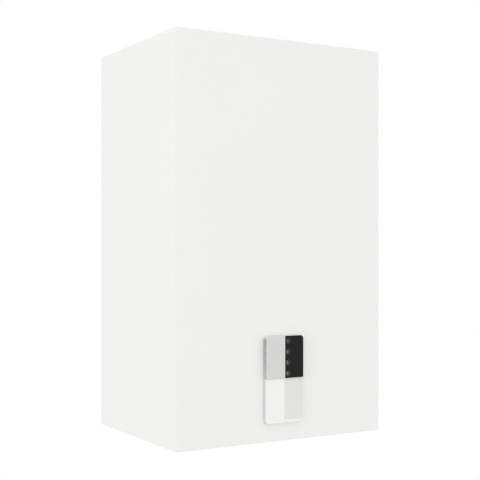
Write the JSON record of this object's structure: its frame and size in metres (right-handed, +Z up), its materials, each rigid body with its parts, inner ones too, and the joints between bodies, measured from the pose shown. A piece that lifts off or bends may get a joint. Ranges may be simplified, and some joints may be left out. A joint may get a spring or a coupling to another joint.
{
  "type": "combi boiler",
  "caption": "Wall-hung condensing combi boiler in a plain white lift-off casing, with a narrow raised control fascia of display, round keys and lower cover, and its pipe connections underneath.",
  "frame": {"origin": "on the wall plane, on the centre line, level with the casing's underside", "axes": "+X to the right seen from the front, +Y into the wall, +Z up"},
  "size_m": [0.42, 0.3319, 0.7455],
  "materials": {
    "white_enamel": "satin powder coat",
    "galvanised": "satin zinc coat",
    "zinc_plate": "bright zinc plate",
    "grey_foam": "matte closed-cell foam",
    "black_rubber": "matte",
    "white_polypropylene": "satin",
    "stainless": "drawn and pickled",
    "graphite": "matte",
    "cast_aluminium": "as cast",
    "white_ceramic": "glazed",
    "black_plastic": "fine grain",
    "grey_plastic": "fine grain",
    "copper": "drawn, lightly tarnished",
    "red_enamel": "satin",
    "brass": "turned",
    "dark_enamel": "satin",
    "red_plastic": "gloss",
    "blue_plastic": "gloss",
    "grey_hose": "satin",
    "clear_glass": "clear",
    "needle_red": "matte",
    "box_plastic": "fine grain",
    "board_green": "lacquered",
    "bezel_grey": "satin",
    "display_grey": "gloss",
    "black_gloss": "gloss",
    "key_black": "satin with a light symbol",
    "white_plastic": "satin",
    "light_grey_plastic": "satin"
  },
  "bodies": {
    "frame": {"back_frame": "galvanised", "wall_bracket": "galvanised", "top_panel": "galvanised", "bottom_panel": "galvanised", "inner_brackets": "galvanised", "fasteners": "zinc_plate", "foam_seals": "grey_foam", "flue_gasket": "black_rubber", "rubber_grommets": "black_rubber", "flue_adaptor": "white_polypropylene", "roof_caps": "white_polypropylene", "flue_duct": "white_polypropylene", "exchanger_body": "stainless", "exchanger_coil": "stainless", "burner": "stainless", "plate_exchanger": "stainless", "door_gasket": "graphite", "burner_door": "cast_aluminium", "fan_housing": "cast_aluminium", "gas_valve": "cast_aluminium", "electrodes": "white_ceramic", "fan_motor": "black_plastic", "gas_air_mixer": "black_plastic", "gas_coils": "black_plastic", "diverter_motor": "black_plastic", "flow_sensor": "black_plastic", "gauge_case": "black_plastic", "intake_silencer": "grey_plastic", "condensate_trap": "grey_plastic", "pump_housing": "grey_plastic", "flow_block": "grey_plastic", "return_block": "grey_plastic", "gas_pipes": "copper", "heating_pipes": "copper", "expansion_pipe": "copper", "expansion_vessel": "red_enamel", "pipe_connections": "brass", "union_nuts": "brass", "safety_valve": "brass", "air_vent": "brass", "pump_motor": "dark_enamel", "condensate_hose": "grey_hose", "gauge_glass": "clear_glass", "control_box_tray": "box_plastic", "control_box_lid": "box_plastic", "circuit_board": "board_green", "upper_bezel": "bezel_grey", "display_lens": "display_grey", "keypad_plate": "black_gloss", "lower_cover": "white_plastic", "lower_inlay": "light_grey_plastic"},
    "cover": {"front_cover": "white_enamel"},
    "impeller": {"fan_impeller": "black_plastic"},
    "needle": {"gauge_needle": "needle_red"},
    "tap": {"filling_tap": "blue_plastic"},
    "relief": {"relief_knob": "red_plastic"},
    "key_1": {"key_1": "key_black"},
    "key_2": {"key_2": "key_black"},
    "key_3": {"key_3": "key_black"},
    "key_4": {"key_4": "key_black"}
  },
  "joints": [
    {"name": "cover_slide", "type": "slide", "parent": "frame", "child": "cover", "axis": [0, -1, 0], "range_m": [0, 0.36]},
    {"name": "fan_spin", "type": "hinge", "parent": "frame", "child": "impeller", "pos_m": [-0.1248, -0.25, 0.444], "axis": [0, 1, 0], "continuous": true},
    {"name": "gauge_needle_turn", "type": "hinge", "parent": "frame", "child": "needle", "pos_m": [0.15, -0.252, 0.004], "axis": [0, 0, 1], "range_deg": [0, 270]},
    {"name": "filling_tap_turn", "type": "hinge", "parent": "frame", "child": "tap", "pos_m": [0.0975, -0.135, -0.015], "axis": [0, 0, 1], "range_deg": [0, 90]},
    {"name": "relief_knob_turn", "type": "hinge", "parent": "frame", "child": "relief", "pos_m": [0.175, -0.135, 0.08], "axis": [1, 0, 0], "range_deg": [0, 90]},
    {"name": "key_1_press", "type": "slide", "parent": "frame", "child": "key_1", "axis": [0, 1, 0], "range_m": [0, 0.0008], "stiffness_N_per_m": 1500},
    {"name": "key_2_press", "type": "slide", "parent": "frame", "child": "key_2", "axis": [0, 1, 0], "range_m": [0, 0.0008], "stiffness_N_per_m": 1500},
    {"name": "key_3_press", "type": "slide", "parent": "frame", "child": "key_3", "axis": [0, 1, 0], "range_m": [0, 0.0008], "stiffness_N_per_m": 1500},
    {"name": "key_4_press", "type": "slide", "parent": "frame", "child": "key_4", "axis": [0, 1, 0], "range_m": [0, 0.0008], "stiffness_N_per_m": 1500}
  ]
}
